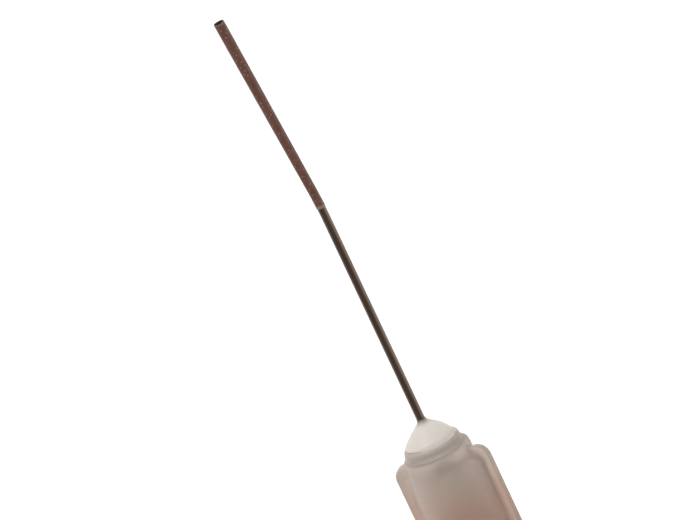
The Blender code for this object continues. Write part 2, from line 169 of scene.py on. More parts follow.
# Matt white paper: faintly uneven, in waves of some millimetres that hardly show.
paper, tree = new_material("white_paper")
grain = add_node(tree, "ShaderNodeTexNoise", sockets={"Scale": 900.0, "Detail": 3.0})
relief = add_node(
    tree, "ShaderNodeBump", sockets={"Strength": 0.05, "Distance": 0.0001, "Height": grain.outputs["Fac"]}
)
shader = add_node(
    tree, "ShaderNodeBsdfPrincipled",
    sockets={"Base Color": srgb("#F7F7F6"), "Roughness": 0.9, "Normal": relief.outputs["Normal"]},
)
finish_material(tree, shader)

floor_mesh = bpy.data.meshes.new("floor")
floor_edge = 3.0
floor_corners = [(x * floor_edge, y * floor_edge, 0.0) for x, y in ((-1, -1), (1, -1), (1, 1), (-1, 1))]
floor_mesh.from_pydata(floor_corners, [], [(0, 1, 2, 3)])
floor_mesh.materials.append(paper)
floor = bpy.data.objects.new("floor", floor_mesh)
bpy.context.scene.collection.objects.link(floor)
floor.visible_glossy = False  # the steel mirrors the tent, not the paper below


# Bottle: a 30 ml squeeze bottle of natural LDPE, blown in a two-part mould.
# The mould leaves a fine raised line down each side.
# The neck is calibrated: a screw thread of one and a half turns, and a bead that the mould grips.
NECK_RADIUS, NECK_BORE = 7.9, 5.6
BODY_WALL = 0.9
HEEL_ROUND, SHOULDER_ROUND, NECK_ROUND = 3.0, 7.5, 1.2
SHOULDER_SLOPE = math.tan(math.radians(20.0))
SIDE_HEIGHT = 41.0
FOOT_WIDTH, PUSH_UP = 2.2, 1.8
BEAD_FOOT, BEAD_TALL, BEAD_REACH = 10.8, 1.2, 1.5  # below the rim to the foot of the neck bead
THREAD_PITCH, THREAD_HEIGHT, THREAD_TURNS = 3.175, 1.0, 1.5
THREAD_TOP = 2.3  # rim to the thread's upper end
THREAD_WALL_WIDTH, THREAD_CREST_WIDTH = 1.887, 0.888
SEAM_HEIGHT, SEAM_WIDTH = 0.07, 0.16


def rounded(corners, steps=6):
    """An outline through corners (radius, height, rounding), each rounding drawn as an arc."""
    outline = []
    count = len(corners)
    for i, (across, up, rounding) in enumerate(corners):
        here = Vector((across, up))
        before, after = Vector(corners[i - 1][:2]) - here, Vector(corners[(i + 1) % count][:2]) - here
        if not rounding or not before.length or not after.length:
            outline.append((across, up))
            continue
        before.normalize()
        after.normalize()
        half = before.angle(after) / 2
        centre = here + (before + after).normalized() * rounding / math.sin(half)
        reach = rounding / math.tan(half)
        start, end = here + before * reach - centre, here + after * reach - centre
        sweep = start.angle_signed(end)
        for k in range(steps + 1):
            spoke = Matrix.Rotation(-sweep * k / steps, 2) @ start
            outline.append(tuple(centre + spoke))
    return outline


def finer(outline, step):
    """The same outline with points added, so that no run is longer than step."""
    result = []
    for (r0, z0), (r1, z1) in zip(outline, outline[1:]):
        parts = max(1, math.ceil(math.hypot(r1 - r0, z1 - z0) / step))
        result += [(r0 + (r1 - r0) * k / parts, z0 + (z1 - z0) * k / parts) for k in range(parts)]
    return result + [outline[-1]]


def even_angles(count):
    return [2 * math.pi * i / count for i in range(count)]


def lathe(name, outline, angles, shape=None):
    """A turned mesh in mm. The outline (radius, height) is a closed loop, or runs from axis to axis.
    shape(radius, height, angle) may change a point's radius and height."""
    on_axis = abs(outline[0][0]) < 1e-9 and abs(outline[-1][0]) < 1e-9
    count = len(outline)
    points, faces = [], []
    for i, angle in enumerate(angles):
        following = (i + 1) % len(angles)
        for j, (radius, height) in enumerate(outline):
            if shape:
                radius, height = shape(radius, height, angle)
            points.append((radius * math.cos(angle), radius * math.sin(angle), height))
            if on_axis and j == count - 1:
                continue
            k = (j + 1) % count
            faces.append((i * count + j, following * count + j, following * count + k, i * count + k))
    mesh = bpy.data.meshes.new(name)
    mesh.from_pydata(points, [], faces)
    return tidied(mesh)


def tidied(mesh):
    """Merges doubled points, turns all faces outwards and shades the mesh smooth up to sharp edges."""
    work = bmesh.new()
    work.from_mesh(mesh)
    bmesh.ops.remove_doubles(work, verts=work.verts, dist=1e-5)
    bmesh.ops.recalc_face_normals(work, faces=work.faces)
    work.to_mesh(mesh)
    work.free()
    mesh.shade_smooth()
    mesh.set_sharp_from_angle(angle=math.radians(40.0))
    return mesh


def place(name, mesh, base, body, slot, material, *nodes):
    """Shows a mesh made in mm, with its own height 0 at base, in place of CAD nodes on a body."""
    mesh.transform(Matrix.Translation((0.0, 0.0, base)) @ Matrix.Scale(MM, 4))
    mesh.materials.append(material)
    piece = bpy.data.objects.new(name, mesh)
    bpy.context.scene.collection.objects.link(piece)
    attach(piece, body)
    if nodes:
        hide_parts(*nodes)
    return piece


def thread_rise(angle, height, foot, turns, run_out=0.11):
    """How much of the thread's full height stands at this place, from 0 to 1."""
    share = angle / (2 * math.pi)
    tallest = 0.0
    for k in range(math.ceil(turns)):
        along = share + k
        if along > turns:
            continue
        off = abs(height - foot - THREAD_PITCH * along)
        flank = (THREAD_WALL_WIDTH / 2 - off) / (THREAD_WALL_WIDTH - THREAD_CREST_WIDTH) * 2
        ends = min(along, turns - along) / run_out
        tallest = max(tallest, min(1.0, max(0.0, flank)) * min(1.0, max(0.0, ends)))
    return tallest


bottle_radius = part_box("bottle")[1][0] / MM
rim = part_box("bottle")[1][2] / MM
thread_foot = rim - THREAD_TOP - THREAD_PITCH * THREAD_TURNS
crown_height = SIDE_HEIGHT + SHOULDER_ROUND * math.tan(math.radians(35.0))
inner_crown = SIDE_HEIGHT + (SHOULDER_ROUND - BODY_WALL) * math.tan(math.radians(35.0))
inner_radius = bottle_radius - BODY_WALL
dome_radius = bottle_radius - HEEL_ROUND - FOOT_WIDTH
bead_foot = rim - BEAD_FOOT
dome_shares = [0.0, 0.3, 0.55, 0.75, 0.9, 1.0]
inside = [
    *[(dome_radius * s, BODY_WALL + PUSH_UP * (1 - s * s), 0) for s in dome_shares],
    (inner_radius, BODY_WALL, HEEL_ROUND - BODY_WALL),
    (inner_radius, inner_crown, SHOULDER_ROUND - BODY_WALL),
    (NECK_BORE, inner_crown + (inner_radius - NECK_BORE) * SHOULDER_SLOPE, NECK_ROUND),
    (NECK_BORE, rim, 0.3),
]
outside = [
    (NECK_RADIUS, rim, 0.3),
    (NECK_RADIUS, bead_foot + BEAD_TALL, 0.2),
    (NECK_RADIUS + BEAD_REACH, bead_foot + BEAD_TALL, 0.35),
    (NECK_RADIUS + BEAD_REACH, bead_foot, 0.35),
    (NECK_RADIUS, bead_foot, 0.2),
    (NECK_RADIUS, crown_height + (bottle_radius - NECK_RADIUS) * SHOULDER_SLOPE, NECK_ROUND),
    (bottle_radius, crown_height, SHOULDER_ROUND),
    (bottle_radius, 0.0, HEEL_ROUND),
    *[(dome_radius * s, PUSH_UP * (1 - s * s), 0) for s in reversed(dome_shares)],
]
bottle_outline = rounded(inside + outside, 10)
fine_neck = []
for (r0, z0), (r1, z1) in zip(bottle_outline, bottle_outline[1:]):
    on_neck = min(z0, z1) > bead_foot and r0 > NECK_BORE + 0.5 and r1 > NECK_BORE + 0.5
    fine_neck += finer([(r0, z0), (r1, z1)], 0.14 if on_neck else 3.0)[:-1]
fine_neck.append(bottle_outline[-1])


def bottle_shape(radius, height, angle):
    """Adds the neck's thread and the mould's two seams."""
    if abs(radius - NECK_RADIUS) < 1e-6 and height > bead_foot + BEAD_TALL:
        radius += THREAD_HEIGHT * thread_rise(angle, height, thread_foot, THREAD_TURNS)
    off = min(abs(angle - a) for a in (0.0, math.pi, 2 * math.pi)) * radius / SEAM_WIDTH
    on_body = radius > inner_radius + BODY_WALL / 2
    on_neck_wall = height > inner_crown and radius > NECK_RADIUS - 0.1
    if (on_body or on_neck_wall) and off < 3 and height > HEEL_ROUND:
        radius += SEAM_HEIGHT * math.exp(-off * off) * (0.2 if radius > bottle_radius - 0.2 else 1.0)
    return radius, height


seam_offsets = [math.radians(a) for a in (-1.4, -0.9, -0.55, -0.3, 0.3, 0.55, 0.9, 1.4)]
bottle_angles = even_angles(144) + [(a + off) % (2 * math.pi) for a in (0.0, math.pi) for off in seam_offsets]
bottle_mesh = lathe("bottle_shell", fine_neck, sorted(bottle_angles), bottle_shape)

# Natural LDPE, blown: milky and waxy, with a soft satin skin and slow waves in its gloss.
# Light passes through the wall and is scattered on the way.
GLOSS_WAVE, SKIN_GRAIN = 6.25, 0.4
ldpe, tree = new_material("blown_natural_ldpe")
place_on = add_node(tree, "ShaderNodeTexCoord")
waves = add_node(
    tree, "ShaderNodeTexNoise",
    sockets={"Vector": place_on.outputs["Object"], "Scale": 1 / (GLOSS_WAVE * MM), "Detail": 2.0},
)
satin = add_node(
    tree, "ShaderNodeMapRange", sockets={"Value": waves.outputs["Fac"], "To Min": 0.30, "To Max": 0.42}
)
skin = add_node(
    tree, "ShaderNodeTexNoise",
    sockets={"Vector": place_on.outputs["Object"], "Scale": 1 / (SKIN_GRAIN * MM), "Detail": 3.0},
)
ripple = add_node(
    tree, "ShaderNodeBump", sockets={"Strength": 0.25, "Distance": 0.0004, "Height": waves.outputs["Fac"]}
)
relief = add_node(
    tree, "ShaderNodeBump",
    sockets={
        "Strength": 0.12, "Distance": 0.00005, "Height": skin.outputs["Fac"],
        "Normal": ripple.outputs["Normal"],
    },
)
shader = add_node(
    tree, "ShaderNodeBsdfPrincipled",
    sockets={
        "Base Color": srgb("#EFEBE4"), "Roughness": satin.outputs["Result"], "IOR": 1.51,
        "Transmission Weight": 0.85, "Subsurface Weight": 0.6, "Subsurface Scale": 0.002,
        "Subsurface Radius": (1.0, 0.9, 0.8), "Normal": relief.outputs["Normal"],
    },
)
finish_material(tree, shader)
place("bottle_shell", bottle_mesh, 0.0, "bottle", "natural_ldpe", ldpe, "bottle")


# Adhesive in the bottle: a thick reddish-brown liquid that stands two thirds up the wall.
# It wets the plastic, so its surface creeps up a little at the edge.
MENISCUS = 0.5

glue_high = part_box("glue_fill")[1]
glue_radius, surface = glue_high[0] / MM, glue_high[2] / MM
glue_gap = inner_radius - glue_radius
glue_outline = rounded(
    [
        *[(dome_radius * s, BODY_WALL + glue_gap + PUSH_UP * (1 - s * s), 0) for s in dome_shares],
        (glue_radius, BODY_WALL + glue_gap, HEEL_ROUND - BODY_WALL - glue_gap),
        (glue_radius, surface, 0),
        (glue_radius - MENISCUS, surface - MENISCUS, MENISCUS * 0.8),
        (0.0, surface - MENISCUS, 0),
    ]
)
# Contact adhesive, liquid: a wet gloss over slow streaks of lighter and darker brown.
GLUE_STREAK = 8.33
adhesive, tree = new_material("liquid_contact_adhesive")
place_on = add_node(tree, "ShaderNodeTexCoord")
streaks = add_node(
    tree, "ShaderNodeTexNoise",
    sockets={"Vector": place_on.outputs["Object"], "Scale": 1 / (GLUE_STREAK * MM), "Detail": 3.0},
)
tint = add_node(
    tree, "ShaderNodeMix", {"data_type": "RGBA"},
    {"Factor": streaks.outputs["Fac"], "A": srgb("#7A4330"), "B": srgb("#9A5A40")},
)
shader = add_node(
    tree, "ShaderNodeBsdfPrincipled",
    sockets={
        "Base Color": tint.outputs["Result"], "Roughness": 0.12, "IOR": 1.47, "Subsurface Weight": 0.7,
        "Subsurface Scale": 0.002, "Subsurface Radius": (1.0, 0.4, 0.25),
    },
)
finish_material(tree, shader)
place(
    "adhesive_fill", lathe("adhesive_fill", glue_outline, even_angles(96)), 0.0, "bottle", "liquid_glue",
    adhesive, "glue_fill",
)


# Sealing washer: punched from foamed polyethylene sheet, it lies between the neck's rim and the nozzle.
# The screw ring presses the nozzle's flange down on it.
washer_low, washer_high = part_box("sealing_washer")
washer_radius = washer_high[0] / MM
washer_tall = (washer_high[2] - washer_low[2]) / MM
WASHER_HOLE = 5.72
washer_outline = rounded(
    [
        (WASHER_HOLE, 0.0, 0.1), (washer_radius, 0.0, 0.1),
        (washer_radius, washer_tall, 0.1), (WASHER_HOLE, washer_tall, 0.1),
    ]
)
# Foamed polyethylene, punched: white and matt, finely pitted by its cells.
FOAM_CELL = 0.2
foam, tree = new_material("foamed_polyethylene")
place_on = add_node(tree, "ShaderNodeTexCoord")
cells = add_node(
    tree, "ShaderNodeTexVoronoi",
    sockets={"Vector": place_on.outputs["Object"], "Scale": 1 / (FOAM_CELL * MM)},
)
relief = add_node(
    tree, "ShaderNodeBump",
    sockets={"Strength": 0.5, "Distance": 0.00006, "Height": cells.outputs["Distance"]},
)
shader = add_node(
    tree, "ShaderNodeBsdfPrincipled",
    sockets={"Base Color": srgb("#EFEFEC"), "Roughness": 0.8, "IOR": 1.5, "Normal": relief.outputs["Normal"]},
)
finish_material(tree, shader)
place(
    "foam_washer", lathe("foam_washer", washer_outline, even_angles(96)), washer_low[2], "nozzle", "foam_pe",
    foam, "sealing_washer",
)


# Nozzle: one moulding of natural polypropylene. Its plug seals in the neck, its flange is clamped by the
# ring, and its nose carries the male luer cone that the needle's hub is pushed on.
FLANGE_THICKNESS = 1.4
PLUG_RADIUS, PLUG_WALL = 5.48, 1.2
NOSE_FOOT = 3.3  # flange's underside to where the nose starts to narrow
NOSE_TOP_RADIUS = 3.4
CONE_FOOT_RADIUS, CONE_LENGTH, CONE_TAPER = 2.21, 8.0, 0.03
CHANNEL = 1.1

nozzle_low, nozzle_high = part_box("luer_nozzle")
flange_radius = nozzle_high[0] / MM
flange_height = washer_high[2] / MM + 0.1
nozzle_top = nozzle_high[2] / MM - flange_height
nose_top = nozzle_top - CONE_LENGTH
plug_foot = nozzle_low[2] / MM - flange_height
cone_tip_radius = CONE_FOOT_RADIUS - CONE_TAPER * CONE_LENGTH
nozzle_outline = rounded(
    [
        (CHANNEL, nozzle_top, 0.15),
        (cone_tip_radius, nozzle_top, 0.25),
        (CONE_FOOT_RADIUS, nose_top, 0.12),
        (NOSE_TOP_RADIUS, nose_top, 0.35),
        (PLUG_RADIUS, NOSE_FOOT, 0.8),
        (PLUG_RADIUS, FLANGE_THICKNESS, 0.1),
        (flange_radius, FLANGE_THICKNESS, 0.2),
        (flange_radius, 0.0, 0.2),
        (PLUG_RADIUS, 0.0, 0.1),
        (PLUG_RADIUS, plug_foot, 0.35),
        (PLUG_RADIUS - PLUG_WALL, plug_foot, 0.2),
        (PLUG_RADIUS - PLUG_WALL, NOSE_FOOT - 0.3, 0.5),
        (CHANNEL, nose_top - 1.2, 0.4),
    ]
)
# Natural polypropylene, injection moulded: slightly milky, glossier than the bottle, with fine flow marks.
NOZZLE_FLOW = 2.0
natural_pp, tree = new_material("moulded_natural_pp")
place_on = add_node(tree, "ShaderNodeTexCoord")
flow = add_node(
    tree, "ShaderNodeTexNoise",
    sockets={"Vector": place_on.outputs["Object"], "Scale": 1 / (NOZZLE_FLOW * MM), "Detail": 3.0},
)
relief = add_node(
    tree, "ShaderNodeBump", sockets={"Strength": 0.15, "Distance": 0.00008, "Height": flow.outputs["Fac"]}
)
shader = add_node(
    tree, "ShaderNodeBsdfPrincipled",
    sockets={
        "Base Color": srgb("#E6E1DA"), "Roughness": 0.3, "IOR": 1.49, "Transmission Weight": 0.3,
        "Subsurface Weight": 0.7, "Subsurface Scale": 0.0015, "Subsurface Radius": (1.0, 0.9, 0.8),
        "Normal": relief.outputs["Normal"],
    },
)
finish_material(tree, shader)
place(
    "nozzle_moulding", lathe("nozzle_moulding", nozzle_outline, even_angles(128)), flange_height * MM,
    "nozzle", "nozzle_pp", natural_pp, "luer_nozzle",
)


# Screw ring: white polypropylene with 36 grip ribs. Its top plate holds the nozzle's flange down, and its
# own thread runs between the turns of the neck's.
RING_RIBS, RIB_RADIUS = 36, 0.42
RING_RADIUS, RING_BORE, RING_HOLE = 10.85, 9.25, 5.83
RING_TOP = 1.8
RIB_FOOT, RIB_HEAD = 1.0, 1.4  # plain bands below and above the ribs

ring_low, ring_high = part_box("screw_ring")
ring_tall = (ring_high[2] - ring_low[2]) / MM
ring_outline = rounded(
    [
        (RING_HOLE, ring_tall, 0.2),
        (RING_RADIUS, ring_tall, 0.7),
        (RING_RADIUS, 0.0, 0.3),
        (RING_BORE, 0.0, 0.4),
        (RING_BORE, ring_tall - RING_TOP, 0.2),
        (RING_HOLE, ring_tall - RING_TOP, 0.1),
    ]
)
ring_outline = finer(ring_outline + ring_outline[:1], 0.2)[:-1]
ring_thread_foot = thread_foot + THREAD_PITCH / 2 - ring_low[2] / MM
ring_turns = THREAD_TURNS - 0.25


def ring_shape(radius, height, angle):
    """Adds the grip ribs outside and the thread inside."""
    if radius > RING_RADIUS - 0.01:
        spacing = 2 * math.pi / RING_RIBS
        off = abs((angle + spacing / 2) % spacing - spacing / 2) * radius
        ends = min(height - RIB_FOOT, ring_tall - RIB_HEAD - height)
        if off < RIB_RADIUS and ends > 0:
            dome = math.sqrt(1 - (1 - min(1.0, ends / RIB_RADIUS)) ** 2)
            radius += math.sqrt(RIB_RADIUS**2 - off**2) * dome
    elif abs(radius - RING_BORE) < 0.01 and height < ring_tall - RING_TOP:
        radius -= THREAD_HEIGHT * thread_rise(angle, height, ring_thread_foot, ring_turns)
    return radius, height


rib_shares = (-1.0, -0.93, -0.75, -0.4, 0.0, 0.4, 0.75, 0.93, 1.0, 1.6, 2.3, 2.9)
rib_offsets = [x * RIB_RADIUS / RING_RADIUS for x in rib_shares]
ring_angles = sorted((a + off) % (2 * math.pi) for a in even_angles(RING_RIBS) for off in rib_offsets)

# White polypropylene, moulded: an even satin with light flow marks.
RING_FLOW = 3.85
white_pp, tree = new_material("moulded_white_pp")
place_on = add_node(tree, "ShaderNodeTexCoord")
flow = add_node(
    tree, "ShaderNodeTexNoise",
    sockets={"Vector": place_on.outputs["Object"], "Scale": 1 / (RING_FLOW * MM), "Detail": 4.0},
)
tint = add_node(
    tree, "ShaderNodeMix", {"data_type": "RGBA"},
    {"Factor": flow.outputs["Fac"], "A": srgb("#D6D3CE"), "B": srgb("#E0DDD8")},
)
relief = add_node(
    tree, "ShaderNodeBump", sockets={"Strength": 0.12, "Distance": 0.0001, "Height": flow.outputs["Fac"]}
)
shader = add_node(
    tree, "ShaderNodeBsdfPrincipled",
    sockets={
        "Base Color": tint.outputs["Result"], "Roughness": 0.36, "IOR": 1.49, "Subsurface Weight": 0.3,
        "Subsurface Scale": 0.001, "Normal": relief.outputs["Normal"],
    },
)
finish_material(tree, shader)
place(
    "ribbed_ring", lathe("ribbed_ring", ring_outline, ring_angles, ring_shape), ring_low[2], "ring",
    "white_pp", white_pp, "screw_ring",
)


# Needle hub: moulded in a translucent warm-grey polypropylene, with soft edges all over.
# Two round steps lead down from the bonded needle to a core with two fins, by which it is turned and
# pulled, and two ears at the mouth fit a locking collar. Its lower core is tinted a warmer, redder grey,
# fading out upwards.
HUB_TURN = -27.5
BOND_BORE, CAVITY, SOCKET_MOUTH = 0.367, 1.6, 2.237
SOCKET_DEPTH, BONDED = 9.2, 2.0
UPPER_STEP, UPPER_TALL = 2.4, 0.9
CORNER_TALL, CORNER_FILL, CORNER_FADE = 0.36, 0.12, 0.12
LOWER_STEP, LOWER_TALL = 2.95, 1.2
CORE_WAIST, CORE_FOOT = 3.17, 3.287
FIN_DROP, FIN_LENGTH, FIN_THICKNESS, FIN_ROUND = 1.55, 10.2, 0.82, 1.05
FIN_REACH, EAR_REACH = 1.05, 0.6
COVE, COVE_RUN_OUT, COVE_SHORTER, COVE_LIFT = 0.55, 0.8, 1.0, 0.3
SOFTENED_OFF = 0.03  # what the softening takes off the fins' edges
CAVITY_WALL = 0.6  # from the cavity to the inner edge of the coves
EAR_TALL, EAR_ANGLE, EAR_ROOT = 1.2, 50.0, 2.7
# Painted shade on the fins: their colour turns slightly darker than the core's and stands in for shade. The
# plastic is the same.
FIN_PAINTED_SHADE = (3.2, 3.7)  # radii between which the fins' slightly darker shade sets in
VOXEL = 0.075

hub_low, hub_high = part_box("needle_hub")
hub_tall = (hub_high[2] - hub_low[2]) / MM
fin_radius = CORE_FOOT + FIN_REACH + SOFTENED_OFF
lower_top = hub_tall - UPPER_TALL
fin_top = hub_tall - FIN_DROP
fin_foot = fin_top - FIN_LENGTH
hub_outline = rounded(
    [
        (BOND_BORE, hub_tall, 0.05),
        (UPPER_STEP, hub_tall, 0.4),
        (UPPER_STEP, lower_top + CORNER_TALL, 0),
        (UPPER_STEP, lower_top + CORNER_TALL * 0.67, 0),
        (UPPER_STEP, lower_top + CORNER_TALL * 0.33, 0),
        (UPPER_STEP, lower_top, 0.05),
        (LOWER_STEP, lower_top, 0.4),
        (LOWER_STEP, lower_top - LOWER_TALL, 0.25),
        (CORE_WAIST, lower_top - LOWER_TALL - 2.0, 0.5),
        (CORE_FOOT, fin_foot, 0),
        (CORE_FOOT, 0.0, 0.2),
        (SOCKET_MOUTH, 0.0, 0.15),
        (SOCKET_MOUTH - CONE_TAPER * SOCKET_DEPTH, SOCKET_DEPTH, 0),
        (CAVITY, SOCKET_DEPTH + 0.6, 0),
        (CAVITY, hub_tall - BONDED - CAVITY / 2, 0.4),
        (BOND_BORE, hub_tall - BONDED, 0),
    ]
)


def hub_shape(radius, height, angle):
    """Fills the corner between the two steps on the front, where adhesive has run down."""
    above = height - lower_top
    share = (1 - above / CORNER_TALL) ** 2 if above >= 0 else 1 + above / CORNER_FADE
    if radius > UPPER_STEP - 0.01 and 0 < share <= 1:
        radius += CORNER_FILL * share * max(0.0, -math.sin(angle))
    return radius, height


def extruded(outline, thickness):
    """A plate of the outline in X and Z, its thickness along Y, as points and faces."""
    count = len(outline)
    points = [(x, y, z) for y in (-thickness / 2, thickness / 2) for x, z in outline]
    walls = [(i, (i + 1) % count, (i + 1) % count + count, i + count) for i in range(count)]
    return points, [tuple(range(count)), tuple(range(2 * count - 1, count - 1, -1)), *walls]


def add_shape(work, points, faces, placing):
    """Adds points and faces to a bmesh, moved by placing, with their faces turned outwards."""
    verts = [work.verts.new(placing @ Vector(point)) for point in points]
    made = [work.faces.new([verts[i] for i in face]) for face in faces]
    bmesh.ops.recalc_face_normals(work, faces=made)


def voxelled(name, mesh, voxel, smoothing):
    """One skin over overlapping solids, with its edges softened as in a mould."""
    rough = bpy.data.objects.new(name + "_rough", mesh)
    bpy.context.scene.collection.objects.link(rough)
    remesh = rough.modifiers.new("one_skin", "REMESH")
    remesh.mode = "VOXEL"
    remesh.voxel_size = voxel
    remesh.use_smooth_shade = True
    soften = rough.modifiers.new("soften", "SMOOTH")
    soften.factor = 0.5
    soften.iterations = smoothing
    bpy.context.view_layer.update()
    skin = bpy.data.meshes.new_from_object(rough.evaluated_get(bpy.context.evaluated_depsgraph_get()))
    skin.name = name
    bpy.data.objects.remove(rough)
    return skin


work = bmesh.new()
work.from_mesh(lathe("hub_core", hub_outline, even_angles(96), hub_shape))
fin_outline = rounded(
    [
        (SOCKET_MOUTH + 0.4, fin_foot, 0), (fin_radius, fin_foot, FIN_ROUND),
        (fin_radius, fin_top, FIN_ROUND), (SOCKET_MOUTH + 0.4, fin_top, 0),
    ],
    8,
)
cove_root, cove_side = CAVITY + CAVITY_WALL, FIN_THICKNESS / 2 + COVE
cove_outline = [
    (cove_root, -cove_side), (math.sqrt(CORE_WAIST**2 - cove_side**2), -cove_side),
    (CORE_FOOT + COVE * 0.6, -FIN_THICKNESS / 2),
]
cove_outline += [(x, -y) for x, y in reversed(cove_outline)]
laid_up = Matrix.Rotation(-math.pi / 2, 4, "X")
cove_points, cove_faces = extruded(cove_outline, FIN_LENGTH - COVE_SHORTER)
cove_points = [(x, y + COVE_RUN_OUT * (x - cove_root) * (y < 0), z) for x, y, z in cove_points]
for half in range(2):
    spin = Matrix.Rotation(math.radians(HUB_TURN + 180.0 * half), 4, "Z")
    add_shape(work, *extruded(fin_outline, FIN_THICKNESS), spin)
    middle = Matrix.Translation((0.0, 0.0, (fin_foot + fin_top) / 2 + COVE_LIFT))
    add_shape(work, cove_points, cove_faces, middle @ spin @ laid_up)
for half in range(2):
    edge = [math.radians(-EAR_ANGLE / 2 + EAR_ANGLE * k / 8) for k in range(9)]
    reach = CORE_FOOT + EAR_REACH
    ear = [(reach * math.cos(a), reach * math.sin(a)) for a in edge]
    ear += [(EAR_ROOT * math.cos(a), EAR_ROOT * math.sin(a)) for a in reversed(edge)]
    spin = Matrix.Rotation(math.radians(HUB_TURN + 45.0 + 180.0 * half), 4, "Z")
    middle = Matrix.Translation((0.0, 0.0, 0.1 + EAR_TALL / 2))
    add_shape(work, *extruded(ear, EAR_TALL), middle @ spin @ laid_up)
hub_rough = bpy.data.meshes.new("hub_rough")
work.to_mesh(hub_rough)
work.free()
hub_mesh = voxelled("finned_hub", hub_rough, VOXEL, 14)

# Translucent polypropylene: cloudy, so the needle's bore and the adhesive show only as soft tints.
HUB_CLOUD = 3.57
hub_pp, tree = new_material("moulded_translucent_pp")
place_on = add_node(tree, "ShaderNodeTexCoord")
apart = add_node(tree, "ShaderNodeSeparateXYZ", sockets={"Vector": place_on.outputs["Object"]})
cloud = add_node(
    tree, "ShaderNodeTexNoise",
    sockets={"Vector": place_on.outputs["Object"], "Scale": 1 / (HUB_CLOUD * MM), "Detail": 3.0},
)
# The core's colour turns a warmer, redder grey towards the bottom.
tinted = add_node(
    tree, "ShaderNodeMapRange", {"interpolation_type": "SMOOTHSTEP"},
    {
        "Value": apart.outputs["Z"], "From Min": hub_high[2] - 7.5 * MM, "From Max": hub_high[2] - 2.5 * MM,
        "To Min": 1.0, "To Max": 0.0,
    },
)
pale = add_node(
    tree, "ShaderNodeMix", {"data_type": "RGBA"},
    {"Factor": cloud.outputs["Fac"], "A": srgb("#C6B9AF"), "B": srgb("#D0C3B9")},
)
across = add_node(
    tree, "ShaderNodeVectorMath", {"operation": "MULTIPLY"},
    {0: place_on.outputs["Object"], 1: (1.0, 1.0, 0.0)},
)
reach = add_node(tree, "ShaderNodeVectorMath", {"operation": "LENGTH"}, {0: across.outputs["Vector"]})
# Painted shade: the fins get a slightly darker colour than the core, in place of shade.
fin_painted_shade = add_node(
    tree, "ShaderNodeMapRange", {"interpolation_type": "SMOOTHSTEP"},
    {
        "Value": reach.outputs["Value"], "From Min": FIN_PAINTED_SHADE[0] * MM, "From Max": FIN_PAINTED_SHADE[1] * MM,
        "To Max": 0.7,
    },
)
painted_shade_colour = add_node(
    tree, "ShaderNodeMix", {"data_type": "RGBA"},
    {"Factor": fin_painted_shade.outputs["Result"], "A": pale.outputs["Result"], "B": srgb("#BEB2A7")},
)
tint = add_node(
    tree, "ShaderNodeMix", {"data_type": "RGBA"},
    {"Factor": tinted.outputs["Result"], "A": painted_shade_colour.outputs["Result"], "B": srgb("#C5AC9E")},
)
relief = add_node(
    tree, "ShaderNodeBump", sockets={"Strength": 0.1, "Distance": 0.0001, "Height": cloud.outputs["Fac"]}
)
shader = add_node(
    tree, "ShaderNodeBsdfPrincipled",
    sockets={
        "Base Color": tint.outputs["Result"], "Roughness": 0.55, "IOR": 1.49, "Transmission Weight": 0.6,
        "Subsurface Weight": 1.0, "Subsurface Scale": 0.0015, "Subsurface Radius": (1.0, 0.85, 0.75),
        "Normal": relief.outputs["Normal"],
    },
)
finish_material(tree, shader)
place("finned_hub", hub_mesh, hub_low[2], "needle", "hub_pp", hub_pp, "needle_hub")

# Potting: epoxy that has run down round the needle and filled the hub's cavity above the nozzle's cone.
# It has yellowed, and the hub's wall shows it as a soft darker core.
POTTING_GAP, POTTING_FOOT = 0.06, 8.6
potting_top = hub_tall - BONDED - 0.1
potting_radius = CAVITY - POTTING_GAP
potting_outline = rounded(
    [
        (0.0, POTTING_FOOT, 0), (potting_radius, POTTING_FOOT, 0.2),
        (potting_radius, potting_top - CAVITY / 2, 0.4), (0.5, potting_top, 0.1), (0.0, potting_top, 0),
    ]
)
POTTING_FLOW = 2.38
potting, tree = new_material("yellowed_epoxy")
place_on = add_node(tree, "ShaderNodeTexCoord")
flow = add_node(
    tree, "ShaderNodeTexNoise",
    sockets={"Vector": place_on.outputs["Object"], "Scale": 1 / (POTTING_FLOW * MM), "Detail": 3.0},
)
apart = add_node(tree, "ShaderNodeSeparateXYZ", sockets={"Vector": place_on.outputs["Object"]})
redder = add_node(
    tree, "ShaderNodeMapRange", {"interpolation_type": "SMOOTHSTEP"},
    {
        "Value": apart.outputs["Z"], "From Min": hub_high[2] - 8.0 * MM, "From Max": hub_high[2] - 3.0 * MM,
        "To Min": 1.0, "To Max": 0.0,
    },
)
pale = add_node(
    tree, "ShaderNodeMix", {"data_type": "RGBA"},
    {"Factor": flow.outputs["Fac"], "A": srgb("#F2DDBF"), "B": srgb("#F8E8CF")},
)
tint = add_node(
    tree, "ShaderNodeMix", {"data_type": "RGBA"},
    {"Factor": redder.outputs["Result"], "A": pale.outputs["Result"], "B": srgb("#F0C6A6")},
)
shader = add_node(
    tree, "ShaderNodeBsdfPrincipled",
    sockets={
        "Base Color": tint.outputs["Result"], "Roughness": 0.4, "IOR": 1.5, "Subsurface Weight": 0.6,
        "Subsurface Scale": 0.001,
    },
)
finish_material(tree, shader)
place(
    "hub_potting", lathe("hub_potting", potting_outline, even_angles(64)), hub_low[2], "needle",
    "milky_epoxy", potting,
)


